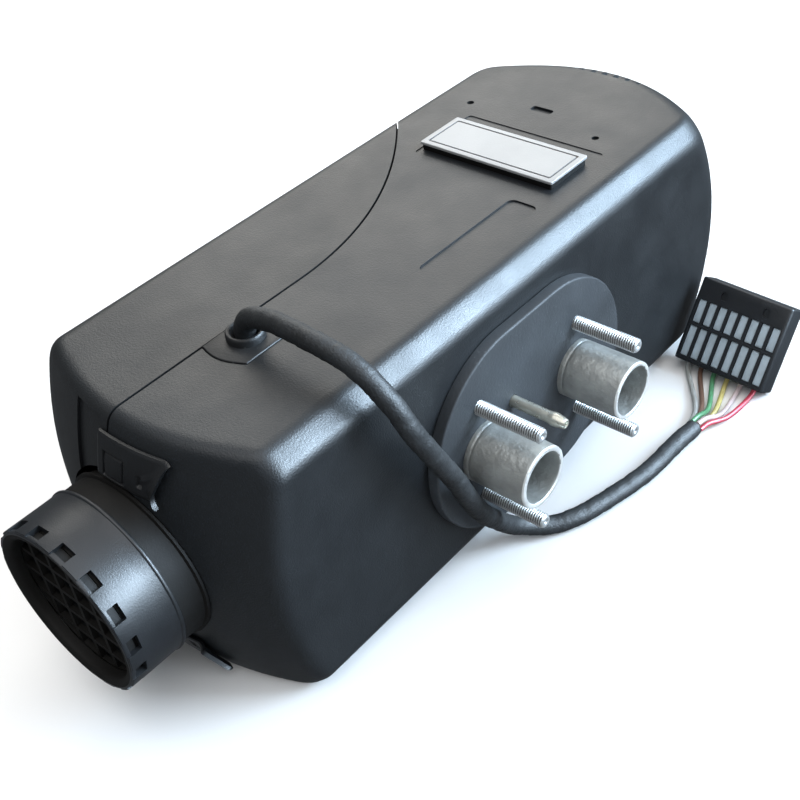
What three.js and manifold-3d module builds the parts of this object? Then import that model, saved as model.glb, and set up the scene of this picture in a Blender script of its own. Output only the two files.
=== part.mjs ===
// Diesel air heater lying on its side, as it rests on a table. Millimetres, +Z up.
// The bench frame below runs X along the heater from the intake hood to the outlet, Y from the pipe side to the
// cover side, and Z up through its width. The outer group then moves the origin to the middle of the base.
import * as THREE from 'three';
import { mergeVertices } from 'three/addons/utils/BufferGeometryUtils.js';
import Module from 'manifold-3d';

const wasm = await Module();
wasm.setup();

// ---------------------------------------------------------------- driving dimensions
const CASE_W = 115;              // across the two flat side walls, Z
const CASE_H = 120;              // pipe side to cover side, Y
const WALL = 2.5;                // plastic wall
const CHAMFER = 7.5;             // long edges on the pipe side
const EDGE_R = 10.5;             // long edges on the cover side
const AXIS_Y = 60;               // blower and heat exchanger axis
const AXIS_Z = 57.5;
const NEAR_CROWN = 132.8;        // crown of the intake-end dome
const NEAR_KY = 0.0047;          // its curvature across Y
const NEAR_KZ = 0.00369;         // and across Z
const FAR_CROWN = 453.6;         // crown of the outlet-end dome before it is cut flat
const FAR_KY = 0.00739;
const FAR_KZ = 0.00607;
const FAR_FLAT = 441;            // flat face round the outlet
const SEAM_Y = 64;               // height of the split between cover and lower shell
const SEAM_X = 235;              // where the split starts to rise
const SEAM_K = 0.004;            // how fast it rises
const SEAM_GAP = 0.4;
const HOOD_R = 33.8;             // intake hood
const HOOD_FRONT = 104;
const HOOD_BACK = 140;
const HOOD_WALL = 2.2;
const HOOD_NOTCHES = 16;
const OUTLET_R = 30;             // outlet spigot for a 60 mm duct
const OUTLET_TIP = 452;
const PAD_R = 43.5;              // rubber mounting pad, a stadium
const PAD_X0 = 266.5;
const PAD_X1 = 296.5;
const PAD_Z = 55;
const PAD_T = 5;
const FOOT_R = 35.5;             // cast foot under the pad
const FOOT_X0 = 268;
const FOOT_X1 = 295;
const STUB_Z = 54.8;             // the two pipe stubs
const STUB_TIP = -32;
const AIR_X = 250;
const AIR_R = 12.6;
const EXHAUST_X = 308.7;
const EXHAUST_R = 12.2;
const STUB_BORE = 10.3;
const STUDS = [[249, 76], [310, 76], [249, 33.5], [310, 33.5]];   // M6 studs, X and Z
const STUD_R = 3;
const STUD_TIP = -33;
const FUEL_X = 268.5;
const FUEL_Z = 65.5;
const FUEL_R = 2.4;
const FUEL_TIP = -29;
const CABLE_R = 4;
const WIRE_R = 1.15;
const GROMMET_X = 199;
const GROMMET_Y = 55;
const FIT = 0.3;                 // gap between touching pieces

const ORIGIN_X = (HOOD_FRONT + OUTLET_TIP) / 2;
const ORIGIN_Y = (STUD_TIP + CASE_H) / 2;

// ---------------------------------------------------------------- helpers
const V = (x, y, z) => new THREE.Vector3(x, y, z);
const basis = (a, b, c, p) => new THREE.Matrix4().makeBasis(a, b, c).setPosition(p);
const EX = V(1, 0, 0), EY = V(0, 1, 0), EZ = V(0, 0, 1);

function solid(geometry, matrix) {
  let g = geometry.clone();
  if (matrix) g.applyMatrix4(matrix);
  g.deleteAttribute('normal');
  g.deleteAttribute('uv');
  g = mergeVertices(g, 1e-4);
  const index = g.index.array, p = g.attributes.position, tri = [];
  let volume = 0;
  const a = V(), b = V(), c = V();
  for (let i = 0; i < index.length; i += 3) {
    const [u, v, w] = [index[i], index[i + 1], index[i + 2]];
    if (u === v || v === w || w === u) continue;
    tri.push(u, v, w);
    a.fromBufferAttribute(p, u); b.fromBufferAttribute(p, v); c.fromBufferAttribute(p, w);
    volume += a.dot(b.cross(c));
  }
  if (volume < 0) for (let i = 0; i < tri.length; i += 3) [tri[i + 1], tri[i + 2]] = [tri[i + 2], tri[i + 1]];
  return new wasm.Manifold(new wasm.Mesh({
    numProp: 3, vertProperties: new Float32Array(p.array), triVerts: new Uint32Array(tri),
  }));
}

const join = (...list) => list.flat(Infinity).reduce((m, n) => m.add(n));
const cut = (body, ...list) => list.flat(Infinity).reduce((m, n) => m.subtract(n), body);

const box = (x0, x1, y0, y1, z0, z1) =>
  solid(new THREE.BoxGeometry(x1 - x0, y1 - y0, z1 - z0).translate((x0 + x1) / 2, (y0 + y1) / 2, (z0 + z1) / 2));

// Cylinders along each axis.
const cylX = (r, x0, x1, y, z, n = 32) =>
  solid(new THREE.CylinderGeometry(r, r, x1 - x0, n).rotateZ(-Math.PI / 2).translate((x0 + x1) / 2, y, z));
const cylY = (r, y0, y1, x, z, n = 32) =>
  solid(new THREE.CylinderGeometry(r, r, y1 - y0, n).translate(x, (y0 + y1) / 2, z));
const cylZ = (r, z0, z1, x, y, n = 32) =>
  solid(new THREE.CylinderGeometry(r, r, z1 - z0, n).rotateX(Math.PI / 2).translate(x, y, (z0 + z1) / 2));

// A turned piece whose axis is parallel to X: pairs of radius and X.
const turnX = (pairs, y, z, n = 48) =>
  solid(new THREE.LatheGeometry(pairs.map(([r, x]) => new THREE.Vector2(r, x)), n), basis(EZ, EX, EY, V(0, y, z)));
// The same about an axis parallel to Y.
const turnY = (pairs, x, z, n = 32) =>
  solid(new THREE.LatheGeometry(pairs.map(([r, y]) => new THREE.Vector2(r, y)), n), new THREE.Matrix4().makeTranslation(x, 0, z));

// Extrusions: a Y-Z outline along X, an X-Z outline along Y, an X-Y outline along Z.
const alongX = (shape, x0, x1, n = 4) =>
  solid(new THREE.ExtrudeGeometry(shape, { depth: x1 - x0, bevelEnabled: false, curveSegments: n }), basis(EY, EZ, EX, V(x0, 0, 0)));
const alongY = (shape, y0, y1, n = 10) =>
  solid(new THREE.ExtrudeGeometry(shape, { depth: y1 - y0, bevelEnabled: false, curveSegments: n }), basis(EX, EZ, V(0, -1, 0), V(0, y1, 0)));
const alongZ = (shape, z0, z1, n = 2) =>
  solid(new THREE.ExtrudeGeometry(shape, { depth: z1 - z0, bevelEnabled: false, curveSegments: n }).translate(0, 0, z0));

function roundRect(x0, x1, y0, y1, r) {
  const s = new THREE.Shape();
  s.moveTo(x0 + r, y0);
  s.lineTo(x1 - r, y0); s.absarc(x1 - r, y0 + r, r, -Math.PI / 2, 0);
  s.lineTo(x1, y1 - r); s.absarc(x1 - r, y1 - r, r, 0, Math.PI / 2);
  s.lineTo(x0 + r, y1); s.absarc(x0 + r, y1 - r, r, Math.PI / 2, Math.PI);
  s.lineTo(x0, y0 + r); s.absarc(x0 + r, y0 + r, r, Math.PI, 1.5 * Math.PI);
  return s;
}

function stadium(x0, x1, z, r) {
  const s = new THREE.Shape();
  s.absarc(x1, z, r, -Math.PI / 2, Math.PI / 2);
  s.absarc(x0, z, r, Math.PI / 2, 1.5 * Math.PI);
  return s;
}

const group = new THREE.Group();
const bench = new THREE.Group();
bench.position.set(-ORIGIN_X, -ORIGIN_Y, 0);
group.add(bench);

function piece(name, body, color, roughness, metalness) {
  const m = body.getMesh();
  const g = new THREE.BufferGeometry();
  g.setAttribute('position', new THREE.BufferAttribute(new Float32Array(m.vertProperties), 3));
  g.setIndex(new THREE.BufferAttribute(new Uint32Array(m.triVerts), 1));
  g.computeVertexNormals();
  const mesh = new THREE.Mesh(g, new THREE.MeshStandardMaterial({ color, roughness, metalness }));
  mesh.name = name;
  bench.add(mesh);
  return mesh;
}

const PLASTIC = 0x2b2e33, SATIN = 0x24272c, RUBBER = 0x35383b, CAST = 0xa9acad, ZINC = 0xb9bcc0, STEEL = 0x9da1a6;

// ---------------------------------------------------------------- casing
// Cross-section: flat side walls, chamfered edges on the pipe side, rounded edges on the cover side.
function section(inset) {
  const lo = inset, y1 = CASE_H - inset, z1 = CASE_W - inset;
  const c = CHAMFER - inset * (2 - Math.SQRT2), r = EDGE_R - inset;
  const s = new THREE.Shape();
  s.moveTo(lo + c, lo);
  s.lineTo(y1 - r, lo); s.absarc(y1 - r, lo + r, r, -Math.PI / 2, 0);
  s.lineTo(y1, z1 - r); s.absarc(y1 - r, z1 - r, r, 0, Math.PI / 2);
  s.lineTo(lo + c, z1); s.lineTo(lo, z1 - c); s.lineTo(lo, lo + c);
  return s;
}

function dome(crown, ky, kz, way, rim) {
  const pairs = [];
  for (let i = 0; i <= 7; i++) { const q = rim * i / 7; pairs.push([q, q * q]); }
  pairs.push([rim, 420], [0, 420]);
  const g = new THREE.LatheGeometry(pairs.map(([r, h]) => new THREE.Vector2(r, h)), 36);
  return solid(g, basis(V(0, 0, 1 / Math.sqrt(kz)), V(way, 0, 0), V(0, 1 / Math.sqrt(ky), 0), V(crown, AXIS_Y, AXIS_Z)));
}

function casing(inset) {
  return alongX(section(inset), 100, FAR_FLAT - inset)
    .intersect(dome(NEAR_CROWN + inset, NEAR_KY, NEAR_KZ, 1, 6.3))
    .intersect(dome(FAR_CROWN - inset, FAR_KY, FAR_KZ, -1, 7.8));
}

// Everything on the cover's side of the split.
function coverSide(shift) {
  const s = new THREE.Shape();
  s.moveTo(60, SEAM_Y + shift);
  s.lineTo(SEAM_X, SEAM_Y + shift);
  for (let i = 1; i <= 14; i++) {
    const x = SEAM_X + 125 * i / 14;
    s.lineTo(x, SEAM_Y + shift + SEAM_K * (x - SEAM_X) ** 2);
  }
  s.lineTo(SEAM_X + 125, 150);
  s.lineTo(60, 150);
  return alongZ(s, -10, CASE_W + 10);
}

const outer = casing(0);
const shell = cut(outer, casing(WALL),
  cylX(HOOD_R + 0.6, 110, 165, AXIS_Y, AXIS_Z, 36),
  cylX(OUTLET_R + 0.6, 430, 470, AXIS_Y, AXIS_Z, 32));

const slots = [];
for (let i = 0; i < 7; i++) slots.push(box(430.3, 440, 40.5 + 6 * i, 43.5 + 6 * i, 112.9, 120));

const lower = cut(shell, coverSide(-SEAM_GAP / 2),
  alongY(stadium(FOOT_X0, FOOT_X1, PAD_Z, FOOT_R + 0.5), -5, 8),
  alongZ(roundRect(184, 212, 42.5, 80, 5), 108, 120),
  alongZ(roundRect(329, 366.5, 20, 89, 2), CASE_W - 1.2, 120),
  alongZ(roundRect(262.5, 319.7, 18.4, 31.7, 3), CASE_W - 0.8, 120),
  cylZ(1.2, CASE_W - 1.5, 120, 376, 96, 12), cylZ(1.2, CASE_W - 1.5, 120, 376, 30.5, 12),
  slots);
piece('lower_shell', lower, PLASTIC, 0.62, 0);

const upper = cut(shell.intersect(coverSide(SEAM_GAP / 2)),
  cylX(HOOD_R + 2.1, 110, 165, AXIS_Y, AXIS_Z, 36));
piece('upper_cover', upper, PLASTIC, 0.62, 0);

// Snap latches: curved tongues that hang from the cover over the lower shell's end.
function latch(z0, z1, w0, w1) {
  const layer = (near, far) => dome(NEAR_CROWN - far, NEAR_KY, NEAR_KZ, 1, 6.3).subtract(dome(NEAR_CROWN - near, NEAR_KY, NEAR_KZ, 1, 6.3));
  const plate = layer(0.4, 2.4).intersect(alongZ(roundRect(100, 200, 33, 72, 2.5), z0, z1));
  const curl = layer(0.4, 5).intersect(box(100, 200, 33, 35.4, z0, z1));
  return cut(join(plate, curl), box(100, 200, 55.5, 66, w0, w1));
}
piece('latch_upper', latch(93, 112, 95.6, 104), SATIN, 0.5, 0);
piece('latch_lower', latch(3, 22, CASE_W - 104, CASE_W - 95.6), SATIN, 0.5, 0);

// ---------------------------------------------------------------- intake hood and outlet
const notches = [];
for (let i = 0; i < HOOD_NOTCHES; i++) {
  const g = new THREE.BoxGeometry(4.2, 6, 6.4).translate(107.9, 0, HOOD_R).rotateX((-6 + i * 360 / HOOD_NOTCHES) * Math.PI / 180).translate(0, AXIS_Y, AXIS_Z);
  notches.push(solid(g));
}
const hoodTube = turnX([[HOOD_R - HOOD_WALL, HOOD_FRONT + 1], [HOOD_R - 1.2, HOOD_FRONT], [HOOD_R, HOOD_FRONT + 1.2], [HOOD_R, HOOD_BACK],
  [HOOD_R - HOOD_WALL, HOOD_BACK], [HOOD_R - HOOD_WALL, HOOD_FRONT + 1]], AXIS_Y, AXIS_Z, 36);
const bead = turnX([[HOOD_R - 1, 133], [HOOD_R + 1.5, 133], [HOOD_R + 1.5, 142], [HOOD_R - 1, 142], [HOOD_R - 1, 133]], AXIS_Y, AXIS_Z, 36)
  .subtract(dome(NEAR_CROWN - 0.4, NEAR_KY, NEAR_KZ, 1, 6.3));
piece('intake_hood', join(cut(hoodTube, notches), bead), SATIN, 0.45, 0);

function grille(x0, x1, r, ringT, bars, t) {
  const parts = [turnX([[r - ringT, x0], [r, x0], [r, x1], [r - ringT, x1], [r - ringT, x0]], AXIS_Y, AXIS_Z, 24)];
  const lim = cylX(r - ringT / 2, x0, x1, AXIS_Y, AXIS_Z, 24);
  for (const o of bars) {
    parts.push(box(x0, x1, AXIS_Y - r, AXIS_Y + r, AXIS_Z + o - t / 2, AXIS_Z + o + t / 2).intersect(lim));
    parts.push(box(x0, x1, AXIS_Y + o - t / 2, AXIS_Y + o + t / 2, AXIS_Z - r, AXIS_Z + r).intersect(lim));
  }
  return join(parts);
}
piece('intake_grille', grille(109.4, 111.4, HOOD_R - HOOD_WALL - FIT, 2, [-20, -10, 0, 10, 20], 1.8), 0x1d1f23, 0.6, 0);

piece('outlet_ring', turnX([[OUTLET_R - 2.4, 430], [OUTLET_R, 430], [OUTLET_R, 441.3], [OUTLET_R + 3, 441.3], [OUTLET_R + 3, 443.6],
  [OUTLET_R, 443.6], [OUTLET_R, 451], [OUTLET_R - 0.8, OUTLET_TIP], [OUTLET_R - 2.4, OUTLET_TIP], [OUTLET_R - 2.4, 430]], AXIS_Y, AXIS_Z, 32), SATIN, 0.5, 0);
piece('outlet_grille', grille(432, 434.4, OUTLET_R - 2.4 - FIT, 2, [-16, -8, 0, 8, 16], 1.8), 0x1d1f23, 0.6, 0);

// ---------------------------------------------------------------- pipe side
const padHoles = [cylY(AIR_R + 0.4, -12, 12, AIR_X, STUB_Z, 24), cylY(EXHAUST_R + 0.4, -12, 12, EXHAUST_X, STUB_Z, 24),
  cylY(FUEL_R + 0.4, -12, 12, FUEL_X, FUEL_Z, 10), STUDS.map(([x, z]) => cylY(STUD_R + 0.4, -12, 12, x, z, 12))];
piece('mount_gasket', cut(alongY(stadium(PAD_X0, PAD_X1, PAD_Z, PAD_R), -PAD_T, -FIT, 14), padHoles), RUBBER, 0.85, 0);

const HX0 = 240, HX1 = 420, HX_R = 38;
const fins = [];
for (let i = 0; i < 12; i++) {
  const g = new THREE.BoxGeometry(140, 2.2, 16).translate(345, 0, 44).rotateX((15 + i * 30) * Math.PI / 180).translate(0, AXIS_Y, AXIS_Z);
  fins.push(solid(g));
}
const exchanger = cut(
  join(turnX([[0, HX1], [HX_R - 6, HX1], [HX_R, HX1 - 8], [HX_R, HX0], [0, HX0], [0, HX1]].reverse(), AXIS_Y, AXIS_Z, 24),
    alongY(stadium(FOOT_X0, FOOT_X1, PAD_Z, FOOT_R), 0, 8, 10),
    cylY(15, 6, 34, AIR_X + 4, STUB_Z, 16), cylY(15, 6, 34, EXHAUST_X, STUB_Z, 16), fins),
  cylX(HX_R - 4, HX0 - 5, HX1 - 5, AXIS_Y, AXIS_Z, 24),
  cylY(STUB_BORE, -2, 30, AIR_X, STUB_Z, 20), cylY(STUB_BORE, -2, 30, EXHAUST_X, STUB_Z, 20),
  cylY(FUEL_R + 0.4, -2, 5, FUEL_X, FUEL_Z, 10),
  STUDS.map(([x, z]) => cylY(STUD_R + 0.4, -2, 6.3, x, z, 12)),
  cylY(5.3, 80, 110, 258, AXIS_Z, 16));
piece('heat_exchanger', exchanger, CAST, 0.6, 0.6);

const stub = (r, x) => turnY([[STUB_BORE, -FIT], [r, -FIT], [r, -7], [r + 0.25, -7.3], [r + 0.25, -8.3], [r, -8.6], [r, STUB_TIP + 0.5],
  [r - 0.5, STUB_TIP], [STUB_BORE, STUB_TIP], [STUB_BORE, -FIT]], x, STUB_Z, 24);
piece('combustion_air_tube', stub(AIR_R, AIR_X), CAST, 0.5, 0.8);
piece('exhaust_tube', stub(EXHAUST_R, EXHAUST_X), CAST, 0.5, 0.8);

STUDS.forEach(([x, z], i) => piece(`stud_${i + 1}`,
  turnY([[0, 6], [STUD_R, 6], [STUD_R, STUD_TIP + 0.8], [STUD_R - 0.8, STUD_TIP], [0, STUD_TIP], [0, 6]], x, z, 12), ZINC, 0.35, 1));

piece('fuel_pipe', turnY([[1, 4.7], [FUEL_R, 4.7], [FUEL_R, FUEL_TIP + 6], [FUEL_R + 0.35, FUEL_TIP + 5], [FUEL_R - 0.6, FUEL_TIP], [1, FUEL_TIP], [1, 4.7]],
  FUEL_X, FUEL_Z, 12), 0x8d7f60, 0.4, 0.9);

// ---------------------------------------------------------------- burner and sensors
piece('burner_tube', turnX([[24, 244], [29, 244], [29, 380], [24, 384], [24, 244]], AXIS_Y, AXIS_Z, 20).subtract(cylY(6, 70, 100, 258, AXIS_Z, 12)), STEEL, 0.45, 1);
piece('glow_plug', turnY([[0, 80], [2.4, 80], [2.4, 92], [5, 92.3], [5, 100], [6.5, 100], [6.5, 104], [3, 104], [3, 110], [0, 110], [0, 80]], 258, AXIS_Z, 12), STEEL, 0.35, 1);
piece('glow_plug_cap', turnY([[3.3, 104.3], [7, 104.3], [7, 112], [5, 114.5], [0, 114.5], [0, 110.3], [3.3, 110.3], [3.3, 104.3]], 258, AXIS_Z, 12), 0x1a1a1a, 0.8, 0);
piece('temperature_sensor', alongZ(roundRect(246, 262, 55, 65, 2), AXIS_Z + HX_R + 0.4, AXIS_Z + HX_R + 4.4), 0x222222, 0.5, 0);
piece('sensor_clip', join(box(251, 257, 50, 70, AXIS_Z + HX_R + 4.7, AXIS_Z + HX_R + 5.7), box(251, 257, 50, 51, AXIS_Z + HX_R - 0.4, AXIS_Z + HX_R + 5.7),
  box(251, 257, 69, 70, AXIS_Z + HX_R - 0.4, AXIS_Z + HX_R + 5.7)), STEEL, 0.4, 1);

// ---------------------------------------------------------------- blower
piece('motor_housing', join(turnX([[9, 152], [25, 152], [27, 154.5], [27, 201], [25, 203.5], [9, 203.5], [9, 152]], AXIS_Y, AXIS_Z, 24),
  turnX([[8.3, 146], [10.5, 146], [10.5, 153], [8.3, 153], [8.3, 146]], AXIS_Y, AXIS_Z, 20),
  turnX([[8.3, 203], [10.5, 203], [10.5, 209.5], [8.3, 209.5], [8.3, 203]], AXIS_Y, AXIS_Z, 20),
  box(160, 196, AXIS_Y - 54, AXIS_Y - 20, AXIS_Z - 3, AXIS_Z + 3).subtract(cylX(20, 150, 206, AXIS_Y, AXIS_Z, 24))), STEEL, 0.5, 0.8);
const bearing = (x0, x1) => turnX([[2.8, x0], [8, x0], [8, x1], [2.8, x1], [2.8, x0]], AXIS_Y, AXIS_Z, 16);
piece('bearing_front', bearing(146.5, 151.5), STEEL, 0.3, 1);
piece('bearing_rear', bearing(204, 209), STEEL, 0.3, 1);
piece('motor_shaft', cylX(2.5, 117.5, 232, AXIS_Y, AXIS_Z, 14), STEEL, 0.25, 1);

function fan(x0, x1, hub, tip, count, pitch, thick) {
  const blades = [];
  for (let i = 0; i < count; i++) {
    const g = new THREE.BoxGeometry(x1 - x0 - 1, thick, tip - hub + 3).translate(0, 0, (tip + hub - 3) / 2).rotateZ(pitch)
      .rotateX(i * 2 * Math.PI / count).translate((x0 + x1) / 2, AXIS_Y, AXIS_Z);
    blades.push(solid(g));
  }
  return cut(join(cylX(hub, x0, x1, AXIS_Y, AXIS_Z, 18), blades).intersect(cylX(tip, x0, x1, AXIS_Y, AXIS_Z, 27)), cylX(2.8, x0 - 1, x1 + 1, AXIS_Y, AXIS_Z, 16));
}
piece('hot_air_impeller', fan(118.5, 134, 11, 29.5, 9, 0.62, 1.8), 0x2a2c30, 0.5, 0);
piece('combustion_impeller', join(fan(222, 230.5, 8, 31, 10, 0, 1.6), turnX([[2.8, 230], [31, 230], [31, 231.5], [2.8, 231.5], [2.8, 230]], AXIS_Y, AXIS_Z, 24)), 0x8f9498, 0.5, 0.6);
piece('blower_housing', turnX([[5, 213.5], [36.5, 213.5], [36.5, 235], [30, 235], [30, 232.5], [34, 232.5], [34, 216], [5, 216], [5, 213.5]], AXIS_Y, AXIS_Z, 24), CAST, 0.6, 0.6);

// Control unit beside the motor, under the cover.
piece('control_unit', join(alongZ(roundRect(155, 208, 90, 112, 3), 26, 89), box(207.5, 213, 98.5, 108, 36, 52), box(207.5, 213, 98.5, 108, 60, 80)), 0x232528, 0.55, 0);

// ---------------------------------------------------------------- side wall fittings
const collar = cylZ(7.8, 115.35, 119, GROMMET_X, GROMMET_Y, 20);
piece('cable_grommet', cut(join(alongZ(roundRect(184.4, 211.6, 42.9, 63.4, 5), 110.5, 115.6), alongZ(roundRect(182, 214, 40.5, 63.4, 4), 109.5, 112.1), collar),
  cylZ(CABLE_R + 1, 100, 125, GROMMET_X, GROMMET_Y, 12)), RUBBER, 0.75, 0);
piece('name_plate', alongZ(roundRect(332.5, 357.5, 21.6, 88.4, 1.2), CASE_W - 0.9, CASE_W + 3.4), 0xc9cdd2, 0.3, 0.9);

// ---------------------------------------------------------------- cable, wires and connector
function cord(points, r, sides, steps) {
  const curve = new THREE.CatmullRomCurve3(points.map((p) => V(...p)), false, 'centripetal');
  const s = new THREE.Shape();
  for (let i = 0; i < sides; i++) {
    const a = 2 * Math.PI * i / sides;
    if (i) s.lineTo(r * Math.cos(a), r * Math.sin(a)); else s.moveTo(r, 0);
  }
  return solid(new THREE.ExtrudeGeometry(s, { steps, bevelEnabled: false, extrudePath: curve }));
}

const SHEATH = [[199, 55, 111], [199, 55, 115.5], [199, 54.7, 119.6], [199.2, 52.2, 123.6], [199.5, 47, 126], [199.3, 38, 127.8], [198.5, 27, 128.6], [198, 16, 128.6], [198.7, 7.7, 127], [199.5, 0, 123.5],
  [200.5, -6, 118], [202, -11, 111], [204.5, -14, 101.5], [211, -14.5, 88], [217.5, -14.2, 75.5], [222.5, -14, 65.9], [229.9, -13, 49.8], [238.2, -12, 34.8],
  [247.9, -11, 22.1], [256.4, -10.5, 12.2], [263.5, -13, 7.2], [270.7, -18.5, 4.6], [279, -23.5, 4.3], [288.3, -26.9, 4.3], [299.4, -29.7, 4.3], [311.2, -32.3, 4.3],
  [322.5, -33.8, 4.3], [341.7, -34.3, 4.3], [353.9, -35.3, 4.3]];
piece('harness_sheath', cord(SHEATH, CABLE_R, 8, 58), 0x17181a, 0.8, 0);

const TURN = 3 * Math.PI / 180, TILT = 33 * Math.PI / 180;      // the connector lies a little askew and leans back on its lower edge
const CONN = V(389, -4, 7);           // its front corner nearest the casing
const conn = basis(V(Math.cos(TURN) * Math.cos(TILT), -Math.sin(TURN) * Math.cos(TILT), -Math.sin(TILT)), V(Math.sin(TURN), Math.cos(TURN), 0),
  V(Math.cos(TURN) * Math.sin(TILT), -Math.sin(TURN) * Math.sin(TILT), Math.cos(TILT)), CONN);
// Local frame of the connector: x into the block, y from -45 to 0 along its face, z up its face.
const local = (m) => m.transform(Array.from(conn.elements));
const CONN_W = 45, CONN_D = 12, CONN_H = 39;
const ROWS = [[2, 16.6], [18, 29]];
const windows = [], inserts = [[], []];
for (let r = 0; r < 2; r++) {
  const [z0, z1] = ROWS[r];
  for (let i = 0; i < 8; i++) {
    const y0 = -43.1 + i * 5.3;
    windows.push(box(-1, 2.4, y0, y0 + 4, z0, z1));
    inserts[r].push(box(0.5, 2.8, y0 + 0.3, y0 + 3.7, z0 + 0.3, z1 - 0.3));
  }
  windows.push(box(2, 3.5, -43.5, -1.6, z0 - 0.4, z1 + 0.4));
  inserts[r].push(box(2.6, 3.2, -42.9, -2.2, z0 + 0.2, z1 - 0.2));
}
piece('connector_body', local(cut(alongZ(roundRect(0, CONN_D, -CONN_W, 0, 1.5), 0, CONN_H), windows, box(3.9, 6.9, -42.5, -2.5, -1, 3.5))), 0x191b1e, 0.5, 0);
piece('terminal_row_lower', local(join(inserts[0])), 0x8f9fb5, 0.4, 0);
piece('terminal_row_upper', local(join(inserts[1])), 0x8f9fb5, 0.4, 0);

const WIRES = ['red', 'white', 'yellow', 'green', 'brown', 'grey'];
const WIRE_HEX = [0xc4242c, 0xe3dcd8, 0xd8c22a, 0x2f8f4a, 0x5c4632, 0x9a9a98];
const END = [354.4, -35.3, 4.3];
// They leave the sheath as a ring of six and spread into a fan along the table.
const RING = [180, 120, 240, 60, 300, 0];
WIRES.forEach((name, i) => {
  const a = RING[i] * Math.PI / 180, k = i - 2.5;
  const dy = 2.75 * Math.cos(a), dz = 2.75 * Math.sin(a);
  const foot = V(5.4, -39.5 + i * 6.7, 1.2).applyMatrix4(conn);
  const out = V(5.2, -39.5 + i * 6.7, -2.2).applyMatrix4(conn);
  piece(`wire_${name}`, cord([[END[0], END[1] + dy, END[2] + dz], [END[0] + 5, END[1] + 0.6 * dy + 0.8 * k, END[2] + dz * 0.85],
    [END[0] + 15, END[1] + k * 3.1 + 0.5, 2.2 + 0.1 * (2.75 + dz)], [out.x, out.y, out.z], [foot.x, foot.y, foot.z]], WIRE_R, 8, 9), WIRE_HEX[i], 0.5, 0);
});

export default group;
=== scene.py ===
import math

import bmesh
import bpy
import numpy as np
from mathutils import Matrix, Vector


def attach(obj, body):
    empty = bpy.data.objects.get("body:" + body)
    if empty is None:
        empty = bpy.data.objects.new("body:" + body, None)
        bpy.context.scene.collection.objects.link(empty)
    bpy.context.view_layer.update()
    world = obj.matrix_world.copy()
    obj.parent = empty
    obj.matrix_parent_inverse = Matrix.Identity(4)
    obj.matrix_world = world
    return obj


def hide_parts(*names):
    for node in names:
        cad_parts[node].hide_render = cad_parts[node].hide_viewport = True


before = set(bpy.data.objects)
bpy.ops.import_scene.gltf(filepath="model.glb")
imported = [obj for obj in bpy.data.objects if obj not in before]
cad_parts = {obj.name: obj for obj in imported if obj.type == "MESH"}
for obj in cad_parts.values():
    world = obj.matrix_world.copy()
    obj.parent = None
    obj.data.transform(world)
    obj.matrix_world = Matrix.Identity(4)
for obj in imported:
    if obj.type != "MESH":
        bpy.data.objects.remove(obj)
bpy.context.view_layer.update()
scene = bpy.context.scene

# All shapes below are written in millimetres in the bench frame: X along the heater from the intake hood, Y from the
# pipe side to the cover side, Z up. to_row moves them to the part's own frame in metres.
OX, OY = 278.0, 43.5


def to_row(p):
    p = np.asarray(p, float)
    return (p - np.array([OX, OY, 0.0])) / 1000.0


# ---------------------------------------------------------------- camera
cam_data = bpy.data.cameras.new("camera")
cam = bpy.data.objects.new("camera", cam_data)
scene.collection.objects.link(cam)
scene.camera = cam
cam_data.sensor_width = 36.0
cam_data.lens = 53.82
cam_data.shift_x = -0.002
cam_data.shift_y = 0.015
cam_data.clip_start = 0.01
cam_data.clip_end = 20
R = Vector((0.6492, -0.7537, -0.1022)).normalized()
B = Vector((-0.5326, -0.5465, 0.6463)).normalized()
U = B.cross(R).normalized()
R = U.cross(B).normalized()
m = Matrix.Identity(4)
for i in range(3):
    m[i][0], m[i][1], m[i][2] = R[i], U[i], B[i]
at = to_row((0.0, -220.2, 356.6))
m[0][3], m[1][3], m[2][3] = at
cam.matrix_world = m


# ---------------------------------------------------------------- mesh helpers
def make(name, verts, faces):
    me = bpy.data.meshes.new(name)
    me.from_pydata([tuple(v) for v in to_row(verts)], [], [tuple(int(i) for i in f) for f in faces])
    ob = bpy.data.objects.new(name, me)
    scene.collection.objects.link(ob)
    bm = bmesh.new()
    bm.from_mesh(me)
    bmesh.ops.remove_doubles(bm, verts=bm.verts, dist=1e-7)
    bmesh.ops.recalc_face_normals(bm, faces=bm.faces)
    bm.to_mesh(me)
    bm.free()
    return ob


def applied(ob):
    dg = bpy.context.evaluated_depsgraph_get()
    me = bpy.data.meshes.new_from_object(ob.evaluated_get(dg))
    ob.modifiers.clear()
    old = ob.data
    ob.data = me
    bpy.data.meshes.remove(old)
    return ob


def boolean(ob, other, op="DIFFERENCE", keep=False):
    mod = ob.modifiers.new("b", "BOOLEAN")
    mod.operation = op
    mod.object = other
    mod.solver = "MANIFOLD"
    applied(ob)
    if not keep:
        bpy.data.objects.remove(other)
    return ob


def duplicate(ob, name):
    new = ob.copy()
    new.data = ob.data.copy()
    new.name = name
    scene.collection.objects.link(new)
    return new


def smooth(ob, angle=32):
    for p in ob.data.polygons:
        p.use_smooth = True
    ob.data.set_sharp_from_angle(angle=math.radians(angle))
    return ob


def bevel(ob, width, segments=2, angle=35):
    mod = ob.modifiers.new("bevel", "BEVEL")
    mod.width = width / 1000
    mod.segments = segments
    mod.limit_method = "ANGLE"
    mod.angle_limit = math.radians(angle)
    mod.use_clamp_overlap = True
    return applied(ob)


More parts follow.
